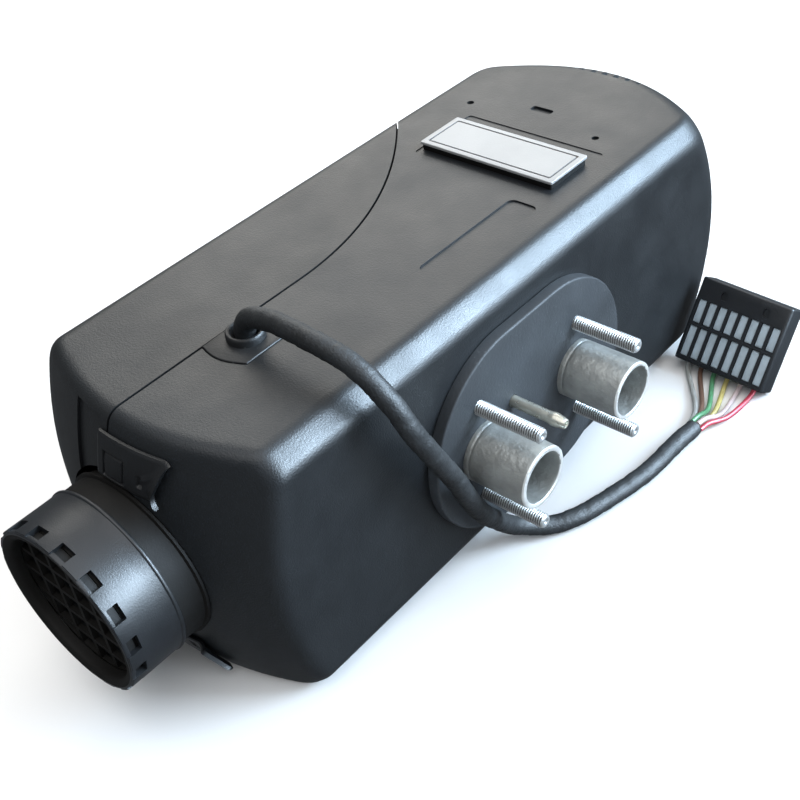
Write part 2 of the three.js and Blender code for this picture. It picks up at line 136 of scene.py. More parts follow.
def rings(list_of_rings, close=False, cap=True):
    n = len(list_of_rings[0])
    verts = np.concatenate(list_of_rings)
    faces = []
    k = len(list_of_rings)
    for i in range(k if close else k - 1):
        a, b = i * n, ((i + 1) % k) * n
        for j in range(n):
            q = (j + 1) % n
            faces.append((a + j, a + q, b + q, b + j))
    if cap and not close:
        faces.append(tuple(range(n))[::-1])
        faces.append(tuple((k - 1) * n + j for j in range(n)))
    return verts, faces


def lathe(name, profile, axis, centre, n=96, closed=True):
    """profile holds (radius, position along axis); a closed one goes round a ring."""
    out = []
    for r, s in profile:
        a = np.linspace(0, 2 * np.pi, n, endpoint=False)
        u, v = r * np.cos(a), r * np.sin(a)
        s = np.full(n, float(s))
        if axis == "X":
            p = np.stack([s, centre[0] + u, centre[1] + v], 1)
        elif axis == "Y":
            p = np.stack([centre[0] + u, s, centre[1] + v], 1)
        else:
            p = np.stack([centre[0] + u, centre[1] + v, s], 1)
        out.append(p)
    v, f = rings(out, close=closed, cap=not closed)
    return make(name, v, f)


def arc(cx, cy, r, a0, a1, n):
    return [(cx + r * math.cos(math.radians(a0 + (a1 - a0) * i / n)), cy + r * math.sin(math.radians(a0 + (a1 - a0) * i / n))) for i in range(n + 1)]


def round_rect(x0, x1, y0, y1, r, n=6):
    return arc(x1 - r, y0 + r, r, -90, 0, n) + arc(x1 - r, y1 - r, r, 0, 90, n) + arc(x0 + r, y1 - r, r, 90, 180, n) + arc(x0 + r, y0 + r, r, 180, 270, n)


def stadium(x0, x1, z, r, n=40):
    return arc(x1, z, r, -90, 90, n) + arc(x0, z, r, 90, 270, n)


def prism(name, outline, lo, hi, axis="Z", soft=0.0, steps=3, soft_low=False):
    """An outline pushed along an axis; soft rounds its high rim, and soft_low its low one too."""
    o = np.array(outline, float)

    def inset(d):
        e = np.roll(o, -1, 0) - np.roll(o, 1, 0)
        e /= np.maximum(np.linalg.norm(e, axis=1)[:, None], 1e-9)
        return o + d * np.stack([-e[:, 1], e[:, 0]], 1)

    levels = []
    if soft and soft_low:
        for i in range(steps + 1):
            a = math.pi / 2 * i / steps
            levels.append((soft * (1 - math.sin(a)), lo + soft * (1 - math.cos(a))))
    else:
        levels.append((0.0, lo))
    if soft:
        for i in range(steps + 1):
            a = math.pi / 2 * i / steps
            levels.append((soft * (1 - math.cos(a)), hi - soft * (1 - math.sin(a))))
    else:
        levels.append((0.0, hi))
    out = []
    for d, s in levels:
        q = inset(d)
        s = np.full(len(q), s)
        if axis == "Z":
            p = np.stack([q[:, 0], q[:, 1], s], 1)
        elif axis == "Y":
            p = np.stack([q[:, 0], -s, q[:, 1]], 1)
        else:
            p = np.stack([s, q[:, 0], q[:, 1]], 1)
        out.append(p)
    v, f = rings(out)
    return make(name, v, f)


def box(name, x0, x1, y0, y1, z0, z1, turn=None):
    v = np.array([(x, y, z) for x in (x0, x1) for y in (y0, y1) for z in (z0, z1)], float)
    if turn is not None:
        v = turn(v)
    f = [(0, 1, 3, 2), (4, 6, 7, 5), (0, 4, 5, 1), (2, 3, 7, 6), (0, 2, 6, 4), (1, 5, 7, 3)]
    return make(name, v, f)


def merge(name, objs):
    base = objs[0]
    for o in objs[1:]:
        boolean(base, o, "UNION")
    base.name = name
    return base


def gather(name, objs):
    """Separate solids in one mesh."""
    me = bpy.data.meshes.new(name)
    bm = bmesh.new()
    for o in objs:
        bm.from_mesh(o.data)
    bm.to_mesh(me)
    bm.free()
    for o in objs:
        bpy.data.objects.remove(o)
    ob = bpy.data.objects.new(name, me)
    scene.collection.objects.link(ob)
    return ob


def catmull(points, per=16):
    """The centripetal curve through the points, as the solids' own curve runs."""
    p = np.array(points, float)
    p = np.vstack([2 * p[0] - p[1], p, 2 * p[-1] - p[-2]])
    out = []
    for i in range(1, len(p) - 2):
        a, b, c, d = p[i - 1 : i + 3]
        t0 = 0.0
        t1 = t0 + np.linalg.norm(b - a) ** 0.5
        t2 = t1 + np.linalg.norm(c - b) ** 0.5
        t3 = t2 + np.linalg.norm(d - c) ** 0.5
        for t in np.linspace(t1, t2, per, endpoint=False):
            x1 = (t1 - t) / (t1 - t0) * a + (t - t0) / (t1 - t0) * b
            x2 = (t2 - t) / (t2 - t1) * b + (t - t1) / (t2 - t1) * c
            x3 = (t3 - t) / (t3 - t2) * c + (t - t2) / (t3 - t2) * d
            y1 = (t2 - t) / (t2 - t0) * x1 + (t - t0) / (t2 - t0) * x2
            y2 = (t3 - t) / (t3 - t1) * x2 + (t - t1) / (t3 - t1) * x3
            out.append((t2 - t) / (t2 - t1) * y1 + (t - t1) / (t2 - t1) * y2)
    out.append(p[-2])
    return np.array(out)


def resample(line, step):
    d = np.r_[0, np.cumsum(np.linalg.norm(np.diff(line, axis=0), axis=1))]
    n = max(2, int(round(d[-1] / step)) + 1)
    s = np.linspace(0, d[-1], n)
    return np.stack([np.interp(s, d, line[:, i]) for i in range(3)], 1), s


def sweep(name, line, s, radius, sides=20):
    """A tube along a line; radius(s, angle) gives its skin."""
    t = np.gradient(line, axis=0)
    t /= np.linalg.norm(t, axis=1)[:, None]
    n = np.cross(t[0], (0.3, 0.2, 0.9))
    n /= np.linalg.norm(n)
    out = []
    a = np.linspace(0, 2 * np.pi, sides, endpoint=False)
    for i in range(len(line)):
        n = n - t[i] * (n @ t[i])
        n /= np.linalg.norm(n)
        b = np.cross(t[i], n)
        r = radius(s[i], a)
        out.append(line[i] + (r * np.cos(a))[:, None] * n + (r * np.sin(a))[:, None] * b)
    v, f = rings(out)
    return make(name, v, f)


# ---------------------------------------------------------------- materials
def material(name, color, rough, metal=0.0, grain=0.0, grain_scale=900.0, tint=0.12, tint_scale=18.0, coarse=0.0, coarse_scale=160.0,
             rough_vary=0.06, specks=0.0, speck_color=(0.35, 0.36, 0.37), specular=0.5, coat=0.0, alt=None, streak=None):
    """Moulded or cast surface: two scales of bump, slow colour drift, uneven gloss and pale specks of dust."""
    mat = bpy.data.materials.new(name)
    mat.use_nodes = True
    nt = mat.node_tree
    nt.nodes.clear()
    out = nt.nodes.new("ShaderNodeOutputMaterial")
    bsdf = nt.nodes.new("ShaderNodeBsdfPrincipled")
    nt.links.new(bsdf.outputs[0], out.inputs[0])
    bsdf.inputs["Metallic"].default_value = metal
    bsdf.inputs["Specular IOR Level"].default_value = specular
    bsdf.inputs["Coat Weight"].default_value = coat
    tc = nt.nodes.new("ShaderNodeTexCoord")
    vec = tc.outputs["Object"]
    if streak:
        mp = nt.nodes.new("ShaderNodeMapping")
        mp.inputs["Scale"].default_value = streak
        nt.links.new(vec, mp.inputs[0])
        vec = mp.outputs[0]

    def noise(scale, detail=3.0, rough_=0.55):
        n = nt.nodes.new("ShaderNodeTexNoise")
        n.inputs["Scale"].default_value = scale
        n.inputs["Detail"].default_value = detail
        n.inputs["Roughness"].default_value = rough_
        nt.links.new(vec, n.inputs["Vector"])
        return n.outputs["Fac"]

    slow = noise(tint_scale, 4)
    ramp = nt.nodes.new("ShaderNodeMix")
    ramp.data_type = "RGBA"
    c = Vector(color)
    lo = c * (1 - tint)
    hi = Vector(alt) if alt else c * (1 + tint)
    ramp.inputs["A"].default_value = (*lo, 1)
    ramp.inputs["B"].default_value = (*hi, 1)
    mr = nt.nodes.new("ShaderNodeMapRange")
    mr.inputs["From Min"].default_value = 0.3
    mr.inputs["From Max"].default_value = 0.7
    nt.links.new(slow, mr.inputs["Value"])
    nt.links.new(mr.outputs[0], ramp.inputs["Factor"])
    color_out = ramp.outputs["Result"]
    if specks:
        sp = noise(grain_scale * 0.55, 2, 0.5)
        sr = nt.nodes.new("ShaderNodeMapRange")
        sr.inputs["From Min"].default_value = 0.72 - 0.1 * specks
        sr.inputs["From Max"].default_value = 0.86
        sr.inputs["To Max"].default_value = min(1.0, specks)
        nt.links.new(sp, sr.inputs["Value"])
        mx = nt.nodes.new("ShaderNodeMix")
        mx.data_type = "RGBA"
        nt.links.new(sr.outputs[0], mx.inputs["Factor"])
        nt.links.new(color_out, mx.inputs["A"])
        mx.inputs["B"].default_value = (*speck_color, 1)
        color_out = mx.outputs["Result"]
    nt.links.new(color_out, bsdf.inputs["Base Color"])
    rv = nt.nodes.new("ShaderNodeMapRange")
    rv.inputs["From Min"].default_value = 0.25
    rv.inputs["From Max"].default_value = 0.75
    rv.inputs["To Min"].default_value = max(0.02, rough - rough_vary)
    rv.inputs["To Max"].default_value = min(1.0, rough + rough_vary)
    nt.links.new(noise(tint_scale * 3.1, 3), rv.inputs["Value"])
    nt.links.new(rv.outputs[0], bsdf.inputs["Roughness"])
    normal = None
    for strength, scale, detail in ((coarse, coarse_scale, 3), (grain, grain_scale, 2)):
        if strength:
            bump = nt.nodes.new("ShaderNodeBump")
            bump.inputs["Strength"].default_value = strength
            bump.inputs["Distance"].default_value = 0.0004
            nt.links.new(noise(scale, detail), bump.inputs["Height"])
            if normal:
                nt.links.new(normal, bump.inputs["Normal"])
            normal = bump.outputs["Normal"]
    if normal:
        nt.links.new(normal, bsdf.inputs["Normal"])
    return mat


CASE = material("casing_plastic", (0.0108, 0.0128, 0.0152), 0.43, grain=0.30, grain_scale=1500, tint=0.12, specks=0.10, speck_color=(0.10, 0.105, 0.11), specular=0.42)
COVER = material("cover_plastic", (0.0112, 0.0126, 0.0142), 0.44, grain=0.30, grain_scale=1500, tint=0.12, specks=0.10, speck_color=(0.10, 0.105, 0.11), specular=0.42)
SATIN = material("satin_plastic", (0.0125, 0.0145, 0.0175), 0.36, grain=0.14, grain_scale=1800, tint=0.12, specks=0.04, speck_color=(0.1, 0.1, 0.1), specular=0.5)
LATCH = material("latch_plastic", (0.0095, 0.0105, 0.012), 0.38, grain=0.15, grain_scale=1800, tint=0.12, specks=0.06, speck_color=(0.1, 0.1, 0.1), specular=0.45)
GRILLE = material("grille_plastic", (0.0075, 0.007, 0.0065), 0.6, grain=0.15, grain_scale=1200, tint=0.15, specular=0.2)
RUBBER = material("rubber", (0.030, 0.035, 0.041), 0.60, grain=0.30, grain_scale=900, coarse=0.25, coarse_scale=90, tint=0.30, tint_scale=26, specks=0.55, speck_color=(0.16, 0.175, 0.18), specular=0.35)
DARK_RUBBER = material("grommet_rubber", (0.014, 0.015, 0.0165), 0.50, grain=0.25, grain_scale=900, tint=0.2, specks=0.5, speck_color=(0.16, 0.17, 0.17), specular=0.4)
CAST = material("cast_aluminium", (0.30, 0.31, 0.30), 0.45, metal=0.45, grain=0.8, grain_scale=520, coarse=0.25, coarse_scale=330, tint=0.20, tint_scale=110, rough_vary=0.1, specks=0.55, speck_color=(0.13, 0.13, 0.12))
RIM = material("cut_aluminium", (0.66, 0.67, 0.66), 0.36, metal=0.4, grain=0.35, grain_scale=1000, tint=0.14, tint_scale=160)
ZINC = material("zinc_steel", (0.44, 0.45, 0.45), 0.40, metal=0.6, grain=0.06, grain_scale=900, tint=0.12, tint_scale=80)
# Painted shade: a darker zinc for the thread roots, standing in for the shade in the grooves.
ZINC_ROOT_SHADE = material("zinc_root_painted_shade", (0.12, 0.12, 0.12), 0.5, metal=0.7, grain=0.05, grain_scale=900, tint=0.15, tint_scale=80)
FUEL = material("fuel_metal", (0.48, 0.47, 0.41), 0.30, metal=0.75, grain=0.08, grain_scale=800, tint=0.16, tint_scale=90)
STEEL = material("machined_steel", (0.42, 0.43, 0.44), 0.32, metal=0.9, grain=0.15, grain_scale=900, tint=0.12, tint_scale=50, streak=(1, 6, 6))
PLATE = material("plate_metal", (0.33, 0.335, 0.34), 0.38, metal=0.1, grain=0.08, grain_scale=1400, tint=0.07, tint_scale=30)
INLAY = material("plate_inlay", (0.03, 0.03, 0.033), 0.4, grain=0.1, tint=0.1)
TAPE = material("cable_tape", (0.014, 0.016, 0.018), 0.56, grain=0.5, grain_scale=1300, coarse=0.45, coarse_scale=260, tint=0.30, tint_scale=90, specks=0.25, speck_color=(0.08, 0.085, 0.09), specular=0.45)
CONNECTOR = material("connector_plastic", (0.012, 0.014, 0.017), 0.42, grain=0.2, grain_scale=1200, tint=0.15, specks=0.2, speck_color=(0.08, 0.09, 0.1), specular=0.45)
TERMINAL = material("terminal_plastic", (0.38, 0.46, 0.52), 0.42, grain=0.1, grain_scale=1200, tint=0.15, tint_scale=120)
ELECTRONICS = material("electronics_plastic", (0.02, 0.022, 0.025), 0.45, grain=0.2, tint=0.15)
# Painted shade: a near-black, dull plastic for the strip behind the seam, so the gap reads as shadow.
SEAM_SHADE = material("painted_seam_shade", (0.008, 0.008, 0.009), 0.8, grain=0.3, tint=0.2, specular=0.2)
BLOWER = material("blower_plastic", (0.03, 0.032, 0.036), 0.42, grain=0.15, tint=0.12)
WIRE_COLORS = {"red": (0.52, 0.055, 0.09), "white": (0.56, 0.47, 0.47), "yellow": (0.50, 0.43, 0.16), "green": (0.10, 0.30, 0.15), "brown": (0.15, 0.085, 0.06), "grey": (0.36, 0.37, 0.36)}


def finish_piece(ob, mat, body, *nodes, slot=None, angle=32):
    if mat is not None:
        ob.data.materials.clear()
        ob.data.materials.append(mat)
    smooth(ob, angle)
    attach(ob, body)
    if nodes:
        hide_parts(*nodes)
    return ob


# ---------------------------------------------------------------- cable, wires and connector
SHEATH = [[199, 55, 111], [199, 55, 115.5], [199, 54.7, 119.6], [199.2, 52.2, 123.6], [199.5, 47, 126], [199.3, 38, 127.8], [198.5, 27, 128.6], [198, 16, 128.6],
          [198.7, 7.7, 127], [199.5, 0, 123.5], [200.5, -6, 118], [202, -11, 111], [204.5, -14, 101.5], [211, -14.5, 88], [217.5, -14.2, 75.5], [222.5, -14, 65.9],
          [229.9, -13, 49.8], [238.2, -12, 34.8], [247.9, -11, 22.1], [256.4, -10.5, 12.2], [263.5, -13, 7.2], [270.7, -18.5, 4.6], [279, -23.5, 4.3],
          [288.3, -26.9, 4.3], [299.4, -29.7, 4.3], [311.2, -32.3, 4.3], [322.5, -33.8, 4.3], [341.7, -34.3, 4.3], [353.9, -35.3, 4.3]]
line, s = resample(catmull(SHEATH), 0.8)
cable_length = float(s[-1]) / 1000


def tape_radius(u, a):
    turn = (u / 11.0 + a / (2 * np.pi)) % 1.0
    lap = np.clip(turn / 0.12, 0, 1) * (1 - 0.55 * turn)
    wrinkle = 0.05 * np.sin(u * 0.9 + 3 * a) + 0.04 * np.sin(u * 2.3 - 2 * a)
    taper = np.clip((cable_length * 1000 - u) / 7.0, 0.0, 1.0) ** 0.5
    return (3.62 + 0.34 * lap + wrinkle) * (0.93 + 0.07 * taper)


sheath = sweep("cable_sheath", line, s, tape_radius, sides=28)
finish_piece(sheath, TAPE, "casing", "harness_sheath", slot="cable_tape", angle=60)

TURN, TILT = math.radians(3), math.radians(33)
CONN = np.array([389.0, -4.0, 7.0])


def conn(v):
    v = np.asarray(v, float)
    c, q, ct, st = math.cos(TURN), math.sin(TURN), math.cos(TILT), math.sin(TILT)
    x = np.array([c * ct, -q * ct, -st])
    y = np.array([q, c, 0.0])
    z = np.array([c * st, -q * st, ct])
    return CONN + v[..., :1] * x + v[..., 1:2] * y + v[..., 2:3] * z


wire_objs, wire_specs = [], []
END = np.array([354.4, -35.3, 4.3])
for i, (name, ring) in enumerate(zip(["red", "white", "yellow", "green", "brown", "grey"], [180, 120, 240, 60, 300, 0])):
    a, k = math.radians(ring), i - 2.5
    dy, dz = 2.75 * math.cos(a), 2.75 * math.sin(a)
    foot = conn(np.array([5.4, -39.5 + i * 6.7, 1.2]))
    away = conn(np.array([5.2, -39.5 + i * 6.7, -2.2]))
    pts = [[END[0], END[1] + dy, END[2] + dz], [END[0] + 5, END[1] + 0.6 * dy + 0.8 * k, END[2] + dz * 0.85],
           [END[0] + 15, END[1] + k * 3.1 + 0.5, 2.2 + 0.1 * (2.75 + dz)], list(away), list(foot)]
    wl, ws = resample(catmull(pts), 1.0)
    w = sweep("wire_" + name + "_sleeve", wl, ws, lambda u, ang: np.full(len(ang), 1.12), sides=14)
    mat = material("wire_" + name, WIRE_COLORS[name], 0.36, grain=0.1, grain_scale=1500, tint=0.12, tint_scale=150)
    finish_piece(w, mat, "casing", "wire_" + name, slot="wire_" + name, angle=60)
    wire_objs.append(w)
    wire_specs.append((w, wl, float(ws[-1]) / 1000))

CONN_W, CONN_D, CONN_H = 45.0, 12.0, 39.0


def conn_prism(name, outline, lo, hi, soft=0.0, soft_low=False):
    o = prism(name, outline, lo, hi, "Z", soft=soft, soft_low=soft_low)
    for v in o.data.vertices:
        p = np.array([v.co.x * 1000 + OX, v.co.y * 1000 + OY, v.co.z * 1000])
        v.co = Vector(to_row(conn(p)))
    return o


def conn_prism_x(name, outline, lo, hi):
    """The same, with the outline on the face and pushed into the block."""
    o = prism(name, outline, lo, hi, "X")
    for v in o.data.vertices:
        p = np.array([v.co.x * 1000 + OX, v.co.y * 1000 + OY, v.co.z * 1000])
        v.co = Vector(to_row(conn(p)))
    return o


body = conn_prism("connector_housing", round_rect(0, CONN_D, -CONN_W, 0, 1.5), 0.0, CONN_H, soft=0.8, soft_low=True)
ROWS = [(2.0, 16.6), (18.0, 29.0)]
cutters = []
for r, (z0, z1) in enumerate(ROWS):
    for i in range(8):
        y0 = -43.1 + i * 5.3
        cutters.append(bevel(box("c", -1, 2.6, y0, y0 + 4.0, z0, z1, conn), 0.45, 3))
cutters.append(box("c", 3.9, 6.9, -42.5, -2.5, -1, 3.5, conn))
for y0 in (-34, -13):
    cutters.append(conn_prism_x("c", round_rect(y0 - 1.6, y0 + 1.6, 31.6, 35.4, 1.2), -1, 0.9))
cut_all = gather("cutters", cutters)
boolean(body, cut_all)
finish_piece(body, CONNECTOR, "casing", "connector_body", slot="connector_plastic", angle=30)
for r, (z0, z1) in enumerate(ROWS):
    parts = []
    for i in range(8):
        y0 = -43.1 + i * 5.3
        t = box("t", 0.7, 2.55, y0 + 0.12, y0 + 3.88, z0 + 0.12, z1 - 0.12, conn)
        bevel(t, 0.5, 3)
        parts.append(t)
    row = gather("terminal_row_%d" % r, parts)
    finish_piece(row, TERMINAL, "casing", "terminal_row_lower" if r == 0 else "terminal_row_upper", slot="terminal_plastic", angle=30)


# ---------------------------------------------------------------- casing skin
AY, AZ = 60.0, 57.5


def smax(a, b, k):
    h = np.maximum(k - np.abs(a - b), 0) / k
    return np.maximum(a, b) + h * h * k * 0.25


def skin(x, y, z):
    """Below zero inside the casing: side walls, chamfers, rounded back edges and the two domed ends, softly joined."""
    t = np.abs(z - AZ)
    low = smax(smax(t - 57.5, -y, 1.6), (7.5 - y - (57.5 - t)) / math.sqrt(2), 2.4)
    qx, qy = t - (57.5 - 10.5), y - (120 - 10.5)
    high = np.hypot(np.maximum(qx, 0), np.maximum(qy, 0)) + np.minimum(np.maximum(qx, qy), 0) - 10.5
    side = np.where(y < 60, low, high)
    near = (132.8 + 0.0047 * (y - AY) ** 2 + 0.00369 * t * t - x) / np.sqrt(1 + (0.0094 * (y - AY)) ** 2 + (0.00738 * t) ** 2)
    far = (x - 453.6 + 0.00739 * (y - AY) ** 2 + 0.00607 * t * t) / np.sqrt(1 + (0.01478 * (y - AY)) ** 2 + (0.01214 * t) ** 2)
    ends = smax(near, smax(far, x - 441.0, 3.0), 0.01)
    return np.where(x < 250, smax(side, ends, 4.2), smax(side, ends, 7.0))


def casing_rings(offset, phis, near_steps, mid_steps, far_steps):
    out = []
    plan = [(178.0, a) for a in near_steps] + [(x, 90.0) for x in mid_steps] + [(385.0, a) for a in far_steps]
    cy, cz = np.cos(phis), np.sin(phis)
    for x0, a in plan:
        dx, dr = -math.cos(math.radians(a)), math.sin(math.radians(a))
        lo, hi = np.zeros(len(phis)), np.full(len(phis), 140.0)
        for _ in range(34):
            mid = (lo + hi) / 2
            inside = skin(x0 + dx * mid, AY + dr * mid * cy, AZ + dr * mid * cz) < -offset
            lo, hi = np.where(inside, mid, lo), np.where(inside, hi, mid)
        t = (lo + hi) / 2
        out.append(np.stack([x0 + dx * t, AY + dr * t * cy, AZ + dr * t * cz], 1))
    return out


def angles(extra, base, spread, count):
    a = list(np.linspace(0, 2 * np.pi, base, endpoint=False))
    for e in extra:
        a += list(e + np.linspace(-spread, spread, count))
    a = np.unique(np.round(np.mod(a, 2 * np.pi), 6))
    keep = [a[0]]
    for v in a[1:]:
        if v - keep[-1] > 0.0016:
            keep.append(v)
    return np.array(keep)


def direction(y, z):
    return math.atan2(z - AZ, y - AY)


corners = [direction(7.5, 115), direction(0, 107.5), direction(7.5, 0), direction(0, 7.5)]
rounds = [direction(117.5, 112.5), direction(117.5, 2.5)]
phis = np.sort(np.unique(np.r_[angles(corners, 176, 0.028, 13), [r + d for r in rounds for d in np.linspace(-0.16, 0.16, 25)]]) % (2 * np.pi))
near_steps = list(np.linspace(1.0, 36, 9)) + list(np.linspace(38, 88.5, 62))
far_steps = list(np.linspace(91.5, 152, 66)) + list(np.linspace(155, 179, 9))
mid_steps = list(np.linspace(179, 384, 22))
v1, f1 = rings(casing_rings(0.0, phis, near_steps, mid_steps, far_steps))
outer = make("skin", v1, f1)
phis_in = np.linspace(0, 2 * np.pi, 120, endpoint=False)
v2, f2 = rings(casing_rings(2.4, phis_in, list(np.linspace(1, 88.5, 30)), list(np.linspace(179, 384, 8)), list(np.linspace(91.5, 179, 30))))
inner = make("hollow", v2, f2)
dome_solid = duplicate(outer, "dome_solid")
shell = boolean(outer, inner)


def cylinder(name, axis, r, lo, hi, centre, n=96):
    return lathe(name, [(r, lo), (r, hi)], axis, centre, n, closed=False)


boolean(shell, cylinder("c", "X", 34.4, 110, 168, (AY, AZ), 128))
boolean(shell, cylinder("c", "X", 30.6, 425, 470, (AY, AZ), 96))


def grommet_outline(gap):
    """The cable plate: flat against the seam, bulging towards the hood, a sharp corner below."""
    edge = [(186.0 - 2.6 * math.sin(math.pi * t) + 2.2 * t + gap, 64.0 - (20.6 - gap) * t) for t in np.linspace(0, 1, 15)]
    return edge + [(210.0, 43.4 + gap), (211.4 - gap, 44.0 + gap), (212.0 - gap, 45.4 + gap), (212.0 - gap, 64.0)]


def cover_region(name, shift):
    xs = np.linspace(235, 360, 60)
    o = [(60.0, 64.0 + shift), (235.0, 64.0 + shift)] + [(x, 64 + shift + 0.004 * (x - 235) ** 2) for x in xs[1:]] + [(360.0, 150.0), (60.0, 150.0)]
    return prism(name, o, -10, 125)


cover = duplicate(shell, "cover_skin")
boolean(cover, cover_region("c", 0.55), "INTERSECT")
boolean(cover, cylinder("c", "X", 35.9, 110, 168, (AY, AZ), 128))
lower = shell
lower.name = "shell_skin"
boolean(lower, cover_region("c", -0.5))
cuts = [prism("c", stadium(268, 295, 55, 36.0), -10, 6, "Y"),
        prism("c", grommet_outline(0.0)[::1], 108, 120),
        prism("c", round_rect(329, 366.5, 20, 89, 1.5), 114.62, 120),
        cylinder("c", "Z", 1.6, 113.6, 120, (376, 96), 24), cylinder("c", "Z", 1.6, 113.6, 120, (376, 30.5), 24),
        prism("c", round_rect(383.5, 387.5, 59, 69.5, 1.2), 113.9, 120)]
for i in range(7):
    cuts.append(box("c", 427.0, 440, 40.5 + 6 * i, 43.5 + 6 * i, 112.9, 120))
for c in cuts:
    boolean(lower, c)
# The shallow tray beside the pad keeps a soft rim.
boolean(lower, prism("c", round_rect(262.5, 319.7, 18.4, 31.7, 3), 114.35, 120))
# Step in the cover's end above the latch, on both side walls.
for z0, z1 in ((84, 112), (3, 31)):
    c = box("c", 100, 200, 68.4, 83.5, z0, z1)
    d = duplicate(dome_solid, "d")
    for v in d.data.vertices:
        v.co.x += 0.0013
    boolean(c, d)
    boolean(cover, c)
# A strip inside the seam gap, in the near-black painted-shade plastic, so the gap reads as shadow and shows nothing
# through.
lip_out = make("lip_out", *rings(casing_rings(2.55, phis_in, list(np.linspace(1, 88.5, 30)), list(np.linspace(179, 384, 8)), list(np.linspace(91.5, 179, 30)))))
lip_in = make("lip_in", *rings(casing_rings(3.3, phis_in, list(np.linspace(1, 88.5, 30)), list(np.linspace(179, 384, 8)), list(np.linspace(91.5, 179, 30)))))
lip_strip = boolean(lip_out, lip_in)
boolean(lip_strip, cover_region("c", -1.4), "INTERSECT")
boolean(lip_strip, cover_region("c", 2.0))
boolean(lip_strip, cylinder("c", "X", 39, 110, 168, (AY, AZ), 96))
boolean(lip_strip, box("c", 182, 214, 38, 80, 105, 120))
boolean(lip_strip, box("c", 357, 400, 60, 125, -5, 120))
lip_strip.name = "seam_lip"
finish_piece(lip_strip, SEAM_SHADE, "casing", slot="casing_plastic")
finish_piece(lower, CASE, "casing", "lower_shell", slot="casing_plastic", angle=24)
finish_piece(cover, COVER, "cover", "upper_cover", slot="casing_plastic", angle=24)
bpy.data.objects.remove(dome_solid)


# ---------------------------------------------------------------- latches
def near_x(y, z):
    lo, hi = np.full(np.shape(y), 120.0), np.full(np.shape(y), 175.0)
    for _ in range(30):
        mid = (lo + hi) / 2
        out = skin(mid, y, z) > 0
        lo, hi = np.where(out, mid, lo), np.where(out, hi, mid)
    return (lo + hi) / 2


def band(v, a, b, w):
    """1 between a and b, falling off over w outside them."""
    return np.clip((v - a) / w + 1, 0, 1) * np.clip((b - v) / w + 1, 0, 1)


def latch(name, mirror):
    ts, us = np.linspace(0, 1, 120), np.linspace(93.2, 108.6, 56)
    T, Z = np.meshgrid(ts, us, indexing="ij")
    free = 33.2 + 5.4 * np.clip((108.6 - Z) / 11.0, 0, 1) ** 0.75 - 2.2 * np.clip((97.0 - Z) / 4.0, 0, 1) ** 2
    Y = free + (67.6 - free) * T
    D = Y - free
    curl = np.clip((5.2 - D) / 5.2, 0, 1) ** 2 * (2.3 + 0.8 * np.clip((104 - Z) / 10, 0, 1))
    edge = 0.4 * (1 - np.clip((Z - 93.2) / 0.8, 0, 1)) + 0.5 * (1 - np.clip((108.6 - Z) / 0.8, 0, 1))
    outer_h = 1.9 + curl - edge - 0.3 * (1 - np.clip((67.6 - Y) / 0.9, 0, 1))
    flare = np.clip(1 - np.abs(Z - (99.2 + 0.45 * (46.5 - Y))) / (1.2 + 0.22 * np.clip(46.5 - Y, 0, 20)), 0, 1) * np.clip((47.5 - Y) / 2.0, 0, 1)
    dimple = band(Y, 45.4, 47.2, 0.35) * band(Z, 96.8, 100.4, 0.35) * 1.2
    ring_ = band(Y, 53.8, 63.9, 0.25) * band(Z, 94.6, 103.2, 0.25) - band(Y, 54.6, 63.1, 0.25) * band(Z, 95.4, 102.4, 0.25)
    h = outer_h + 0.45 * flare * (1 - np.clip((6 - D) / 4, 0, 1)) - dimple - 1.0 * ring_
    inner_h = 0.4 + curl * 0.9
    mz = (lambda q: 115 - q) if mirror else (lambda q: q)
    base = near_x(Y, Z)
    top = np.stack([base - h, Y, mz(Z)], -1)
    bot = np.stack([base - np.minimum(inner_h, h - 0.5), Y, mz(Z)], -1)
    n, k = Y.shape
    verts = np.concatenate([top.reshape(-1, 3), bot.reshape(-1, 3)])
    idx = np.arange(n * k).reshape(n, k)
    f = []
    for i in range(n - 1):
        for j in range(k - 1):
            q = (idx[i, j], idx[i + 1, j], idx[i + 1, j + 1], idx[i, j + 1])
            f.append(q)
            f.append(tuple(n * k + x for x in q[::-1]))
    border = [(i, 0) for i in range(n)] + [(n - 1, j) for j in range(1, k)] + [(i, k - 1) for i in range(n - 2, -1, -1)] + [(0, j) for j in range(k - 2, 0, -1)]
    b = [idx[i, j] for i, j in border]
    for q in range(len(b)):
        a0, a1 = b[q], b[(q + 1) % len(b)]
        f.append((a0, a1, n * k + a1, n * k + a0))
    return make(name, verts, f)


finish_piece(latch("latch_tongue_upper", False), LATCH, "latch_up", "latch_upper", slot="satin_plastic", angle=40)
finish_piece(latch("latch_tongue_lower", True), LATCH, "latch_low", "latch_lower", slot="satin_plastic", angle=40)

# ---------------------------------------------------------------- intake hood
hood = lathe("hood_shell", [(33.5, 104.3), (33.75, 104.5), (33.8, 104.8), (33.8, 112), (33.8, 120), (33.8, 125.2), (33.85, 125.5), (34.15, 125.7), (34.3, 126.0), (34.3, 126.6), (34.1, 126.95), (33.6, 127.1), (31.7, 127.1), (31.7, 104.3)],
             "X", (AY, AZ), 224)
notch = []
for i in range(16):
    a = math.radians(-6 + 22.5 * i)

    def turn(v, a=a):
        v = np.asarray(v, float)
        c, q = math.cos(a), math.sin(a)
        return np.stack([v[:, 0], AY - v[:, 2] * q + v[:, 1] * c, AZ + v[:, 2] * c + v[:, 1] * q], 1)

    notch.append(box("n", 102, 110.0, -3.15, 3.15, 28, 40, turn))
boolean(hood, gather("notches", notch))
finish_piece(hood, SATIN, "hood", "intake_hood", slot="satin_plastic", angle=30)
